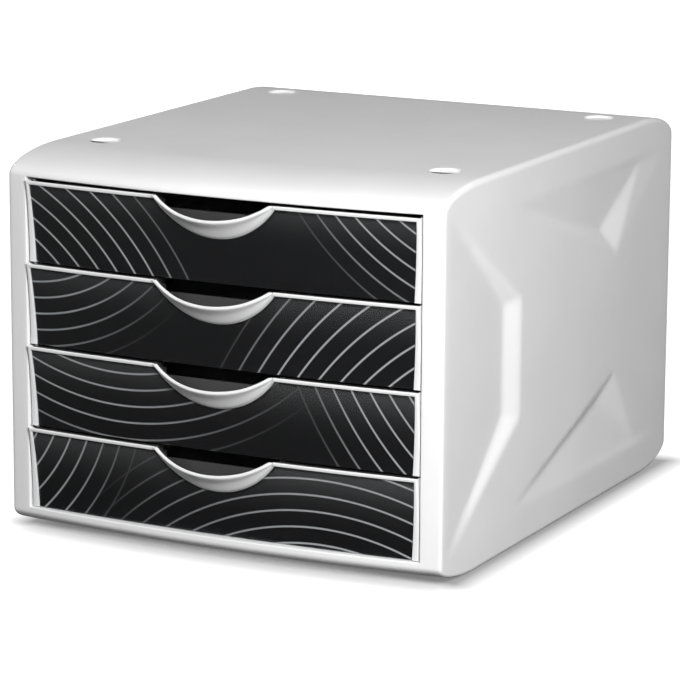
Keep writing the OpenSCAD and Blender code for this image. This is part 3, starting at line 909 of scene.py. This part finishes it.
def ring_of(x0, x1, y0, y1, z, r, gate_z=None):
    """A rounded rectangle at height z; its front side runs at gate_z within the gate."""
    pts = []
    seg = 6
    corners = ((x1 - r, y1 - r, 0), (x0 + r, y1 - r, 90), (x0 + r, y0 + r, 180), (x1 - r, y0 + r, 270))
    near_gate = [GATE_HALF + d for d in (-0.3, 0.3, 2.0, 22.0)]
    for cx, cy, t0 in corners:
        for k in range(seg + 1):
            t = math.radians(t0 + 90 * k / seg)
            pts.append([cx + r * math.cos(t), cy + r * math.sin(t), z])
        if t0 == 0:
            pts += [[x, y1, z] for x in np.linspace(x1 - r, x0 + r, 12)[1:-1]]
        elif t0 == 90:
            pts += [[x0, y, z] for y in np.linspace(y1 - r, y0 + r, 16)[1:-1]]
        elif t0 == 180:
            half = [0.0, 20.0, *near_gate]
            for x in [x0 + r + 12, *(-x for x in half[:0:-1]), *half, x1 - r - 12]:
                inside = gate_z is not None and abs(x) < GATE_HALF
                pts.append([x, y0, min(z, gate_z) if inside else z])
        else:
            pts += [[x1, y, z] for y in np.linspace(y0 + r, y1 - r, 16)[1:-1]]
    return np.array(pts)


def build_tray(parts, n):
    """The tray as one closed skin, with its stop ears, its cheeks and its floor's front strip."""
    z0, z1 = front_z(n)
    zt, top = z0 + TRAY_LIFT, z1 - TRAY_DROP
    gate_drop = z1 - GRIP_H - 2.0 - top

    def ring(shrink, z, r=3.0, gated=False):
        return ring_of(-TRAY_HALF + shrink, TRAY_HALF - shrink, TRAY_Y0 + shrink, TRAY_Y1 - shrink, z,
                       max(r - shrink, 0.5), z + gate_drop if gated else None)

    def behind(p, depth):
        """Keeps points from standing in front of the front's surface."""
        p[:, 1] = np.maximum(p[:, 1], surface_y(p[:, 0], p[:, 2], depth, n))
        return p

    # up the outside, over the edge and down the inside to the floor
    rings = [ring(1.2 * (1 - math.cos(a)), zt + 1.2 * (1 - math.sin(a))) for a in np.radians([90, 60, 30, 0])]
    rings += [ring(0.0, zt + 8), ring(0.0, top - 1.0, gated=True)]
    for a, over in ((30, 0.0), (60, 0.0), (90, 0.0), (120, 0.4), (150, 0.4), (180, 0.4)):
        c, s = math.cos(math.radians(a)), math.sin(math.radians(a))
        rings.append(ring(0.8 * (1 - c) + over, top - 0.8 + 0.8 * s, gated=True))
    rings += [ring(TRAY_T, top - 1.2, gated=True), ring(TRAY_T, zt + 8)]
    for a in QUARTER:
        rings.append(ring(TRAY_T + 2.5 * (1 - math.cos(a)), zt + TRAY_T + 2.5 * (1 - math.sin(a)), 6.0))
    rings = [behind(r, 2.4 if i < 8 else FACE_D[1]) for i, r in enumerate(rings)]
    parts.loft(rings, cap0=True, cap1=True)

    y_ear = LINING_Y + 0.5 + STOP_T + TRAVEL
    y_cheek = surface_y(117, z0 + 8, 4.0, n) + 0.1
    for s in (-1, 1):
        a, b = sorted((s * (TRAY_HALF - 1), s * (TRAY_HALF + 1.1)))
        parts.slab(a, b, y_ear, y_ear + STOP_T, zt + 7.7, zt + 15.7, 0.3)
        a, b = sorted((s * (TRAY_HALF - TRAY_T), s * TRAY_HALF))
        parts.slab(a, b, y_cheek, TRAY_Y0 + 2, zt, z1 - 0.2, 0.3)
    xs = np.linspace(-TRAY_HALF + 0.5, TRAY_HALF - 0.5, 41)
    for z in (zt, zt + TRAY_T):
        parts.grid([[[x, surface_y(x, z, 4.1, n), z], [x, TRAY_Y0 + 1.5, z]] for x in xs])


def build_pocket(parts, n):
    """The finger pocket behind the lip: floor, back and two sides, all in painted shade (material 1)."""
    z1 = front_z(n)[1]
    zf = z1 - GRIP_H - 4.0
    half, wide = GRIP_HALF + 1.0, GRIP_HALF + 2.0
    back, rear = POCKET_Y, POCKET_Y + 2
    parts.slab(-wide, wide, surface_y(0, zf, 3.0, n), rear, zf, zf + 2.0, 0.3, 1)
    parts.slab(-wide, wide, back, rear, zf, z1 - 9.0, 0.5, 1)
    path = [(surface_y(half + 2, z, 2.6, n), z) for z in np.linspace(zf, z1 - 0.5, 9)]
    path += [(TRAY_Y0 + 2, z1 - 0.5), (TRAY_Y0 + 2, z1 - 5.0), (rear, z1 - 5.0), (rear, zf)]
    for s in (-1, 1):
        parts.loft([[[s * x, y, z] for y, z in path] for x in (half, half + 2)], 1, True, True)


def sheet(parts, n, depths, gap, soft):
    """A card or cover between two depths, with the grip cut out of its top edge."""
    d0, d1 = depths
    z0, z1 = front_z(n)
    top = z1 - RIM_H - gap
    half = FRONT_HALF - MARGIN - gap
    phi = np.linspace(-1.2, 1.2, 241)
    cut = tube(n, GRIP_R + 0.1, phi, tube_on_front(n, GRIP_R + 0.1, phi, (d0 + d1) / 2))
    cut = cut[np.argsort(cut[:, 0])]
    cut = cut[cut[:, 0] >= 0]
    cut_x, cut_z = cut[:, 0], cut[:, 2]
    xs = both_ways(np.concatenate([np.linspace(0, 40, 41), np.linspace(43, half - 0.3, 30), [half]]))
    vs = np.concatenate([[0.0, 0.008], np.linspace(0.05, 0.95, 14), [0.992, 1.0]])
    taper_from = 50

    def place(x, v):
        end = top
        if abs(x) < cut_x.max():
            end = min(top, np.interp(abs(x), cut_x, cut_z))
        z = z0 + (end - z0) * v
        if abs(x) > taper_from:
            w = window_half(n, z) - gap
            x = math.copysign(taper_from + (abs(x) - taper_from) * (w - taper_from) / (half - taper_from), x)
        return x, z

    def layer(depth, border_depth):
        rows = []
        for i, v in enumerate(vs):
            row = []
            for j, x in enumerate(xs):
                px, pz = place(x, v)
                border = i > 0 and (i == len(vs) - 1 or j in (0, len(xs) - 1))
                row.append([px, surface_y(px, pz, border_depth if border else depth, n), pz])
            rows.append(row)
        return np.array(rows)

    front, back = layer(d0, d0 + soft), layer(d1, d1 - soft)
    parts.grid(front)
    parts.grid(back)
    for side in (np.s_[0], np.s_[-1], np.s_[:, 0], np.s_[:, -1]):
        parts.grid([front[side], back[side]])


def add_card_uv(me, z0):
    co = np.empty(len(me.vertices) * 3)
    me.vertices.foreach_get("co", co)
    co = co.reshape(-1, 3) * 1000
    idx = np.empty(len(me.loops), np.int32)
    me.loops.foreach_get("vertex_index", idx)
    uv = np.stack([(co[idx, 0] + CARD_W / 2) / CARD_W, (co[idx, 2] - z0) / CARD_H], 1)
    me.uv_layers.new(name="card").data.foreach_set("uv", uv.ravel())


for n in range(1, 5):
    body = f"drawer_{n}"
    parts = Parts()
    build_lip(parts, n)
    for s in (-1, 1):
        build_rim(parts, n, s)
    build_plate(parts, n)
    build_tray(parts, n)
    build_pocket(parts, n)
    ob = parts.make(f"drawer_moulding_{n}", [DRAWER, PAINTED_SHADE])
    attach(ob, body)
    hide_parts(f"drawer_tray_{n}")

    parts = Parts()
    sheet(parts, n, CARD, 0.15, 0.05)
    ob = parts.make(f"drawer_card_{n}", [card_print(n)])
    add_card_uv(ob.data, front_z(n)[0])
    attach(ob, body)
    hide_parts(f"insert_card_{n}")

    parts = Parts()
    sheet(parts, n, COVER, 0.1, 0.25)
    ob = parts.make(f"drawer_cover_{n}", [CLEAR])
    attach(ob, body)
    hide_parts(f"clear_cover_{n}")

# ---------------------------------------------------------------- CAD nodes that stay

for name in ("base_plate", "back_panel", "runner_left", "runner_right"):
    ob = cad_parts[name]
    if ob.data.materials:
        for slot in ob.material_slots:
            slot.material = INNER
    else:
        ob.data.materials.append(INNER)

# ---------------------------------------------------------------- stage, light and camera, in metres

FLOOR_HALF = 6.0
FOOTPRINT = (0.130, -0.128, 0.165)  # half width, front and back of what stands close over the floor
SHADOW_REACH = 0.03
GLOW_NEAR = 0.55  # how bright the floor stays in the wide part of the contact shadow
BOUNCE = 0.2  # the grey that the object's surfaces see in the floor
DOME, MIRRORED_DOME = 0.07, 0.3
# name, place, target, size and power
LAMPS = (
    ("key", (0.8, -0.9, 0.6), (0.05, -0.1, 0.1), (0.3, 0.3), 18.0),
    ("top", (-0.1, -0.55, 1.25), (0.0, -0.05, 0.15), (0.7, 0.7), 4.6),
    ("left_fill", (-1.5, 0.35, 0.25), (0.0, 0.1, 0.1), (0.8, 0.4), 11.0),
    ("back_fill", (-0.7, 1.7, 0.25), (0.0, 0.1, 0.1), (0.9, 0.4), 14.0),
)
CAMERA_AT, LENS = (0.8747, -1.7253, 0.5213), 184.5
YAW, PITCH_DOWN, ROLL = (math.radians(a) for a in (26.977, 12.497, 0.303))


def off_footprint(nt):
    """How far a point of the floor lies outside the footprint."""
    half, front, back = FOOTPRINT
    split = nt.nodes.new("ShaderNodeSeparateXYZ")
    nt.links.new(nt.nodes.new("ShaderNodeNewGeometry").outputs["Position"], split.inputs[0])

    def beyond(v, reach):
        return maths(nt, "MAXIMUM", maths(nt, "SUBTRACT", maths(nt, "ABSOLUTE", v), reach), 0.0)

    y = maths(nt, "SUBTRACT", split.outputs["Y"], (front + back) / 2)
    return length(nt, beyond(split.outputs["X"], half), beyond(y, (back - front) / 2))


def seen_floor(nt, bsdf, off):
    """White all over and glowing, with the object's soft shadow painted into the glow: it dims by ambient
    occlusion and near the footprint.
    """
    near = nt.nodes.new("ShaderNodeAmbientOcclusion")
    near.samples = 12
    near.inputs["Distance"].default_value = SHADOW_REACH
    wide = ranged(nt, near.outputs["AO"], GLOW_NEAR, 1.0, 0.08, 0.88)
    tight = ranged(nt, near.outputs["AO"], 0.3, 1.0, 0.0, 0.05)
    # a painted shadow that fades out within 17 mm of the footprint
    footprint_painted_shadow = ranged(nt, off, 0.26, 1.0, 0.0, 0.017)
    both = nt.nodes.new("ShaderNodeAddShader")
    nt.links.new(bsdf.outputs[0], both.inputs[0])
    nt.links.new(emission(nt, maths(nt, "MINIMUM", product(nt, wide, tight), footprint_painted_shadow)), both.inputs[1])
    return both.outputs[0]


def mirrored_floor(nt, off):
    """Painted light for reflections, like a large soft light: bright in a band of angles between steep and
    flat, and more so further off, with painted shade within 20 mm of the footprint.
    """
    face = nt.nodes.new("ShaderNodeLayerWeight")
    face.inputs["Blend"].default_value = 0.5
    steep = maths(nt, "POWER", ranged(nt, face.outputs["Facing"], 1.3, 0.0, 0.46, 0.70), 3.0)
    band = product(nt, steep, ranged(nt, face.outputs["Facing"], 0.0, 1.5, 0.38, 0.50))
    footprint_painted_shade = ranged(nt, off, 0.0, 1.0, 0.0, 0.02)
    further = ranged(nt, off, 0.35, 1.65, 0.0, 0.4)
    return emission(nt, product(nt, maths(nt, "ADD", band, 0.05), footprint_painted_shade, further))


def stage():
    me = bpy.data.meshes.new("floor")
    s = FLOOR_HALF
    me.from_pydata([(-s, -s, 0), (s, -s, 0), (s, s, 0), (-s, s, 0)], [], [(0, 1, 2, 3)])
    ob = linked("floor", me)
    m, nt, bsdf, out = principled("floor_white")
    bsdf.inputs["Base Color"].default_value = (0.2, 0.2, 0.2, 1)
    bsdf.inputs["Roughness"].default_value = 0.9
    bsdf.inputs["Specular IOR Level"].default_value = 0.0
    path = nt.nodes.new("ShaderNodeLightPath")
    off = off_footprint(nt)
    dull = nt.nodes.new("ShaderNodeBsdfDiffuse")
    dull.inputs["Color"].default_value = (BOUNCE, BOUNCE, BOUNCE, 1)
    look = mix_shaders(nt, seen_directly(nt, path), dull.outputs[0], seen_floor(nt, bsdf, off))
    look = mix_shaders(nt, path.outputs["Is Glossy Ray"], look, mirrored_floor(nt, off))
    nt.links.new(look, out.inputs[0])
    me.materials.append(m)


def studio():
    """The world: a dim dome as light, white to the camera, and soft grey in reflections."""
    world = bpy.data.worlds.new("studio")
    bpy.context.scene.world = world
    world.use_nodes = True
    nt = world.node_tree
    nt.nodes.clear()
    out = nt.nodes.new("ShaderNodeOutputWorld")

    def white(strength):
        n = nt.nodes.new("ShaderNodeBackground")
        n.inputs["Color"].default_value = (1, 1, 1, 1)
        n.inputs["Strength"].default_value = strength
        return n.outputs[0]

    path = nt.nodes.new("ShaderNodeLightPath")
    look = mix_shaders(nt, seen_directly(nt, path), white(DOME), white(1.0))
    look = mix_shaders(nt, path.outputs["Is Glossy Ray"], look, white(MIRRORED_DOME))
    nt.links.new(look, out.inputs[0])


def lamp(name, place, target, size, power):
    data = bpy.data.lights.new(name, "AREA")
    data.shape = "RECTANGLE"
    data.size, data.size_y = size
    data.energy = power
    ob = linked(name, data)
    ob.location = place
    ob.rotation_mode = "QUATERNION"
    ob.rotation_quaternion = (Vector(target) - Vector(place)).to_track_quat("-Z", "Y")
    ob.visible_glossy = False


def camera():
    data = bpy.data.cameras.new("camera")
    data.sensor_width = 36.0
    data.sensor_fit = "AUTO"
    data.lens = LENS
    data.clip_start, data.clip_end = 0.05, 50.0
    ahead = Vector((-math.sin(YAW) * math.cos(PITCH_DOWN), math.cos(YAW) * math.cos(PITCH_DOWN),
                    -math.sin(PITCH_DOWN)))
    right = Vector((math.cos(YAW), math.sin(YAW), 0))
    up = right.cross(ahead)
    rolled_right = right * math.cos(ROLL) + up * math.sin(ROLL)
    rolled_up = -right * math.sin(ROLL) + up * math.cos(ROLL)
    ob = linked("camera", data)
    ob.rotation_mode = "QUATERNION"
    ob.rotation_quaternion = Matrix((rolled_right, rolled_up, -ahead)).transposed().to_quaternion()
    ob.location = CAMERA_AT
    bpy.context.scene.camera = ob


stage()
studio()
for row in LAMPS:
    lamp(*row)
camera()
bpy.context.scene.view_settings.view_transform = "Standard"
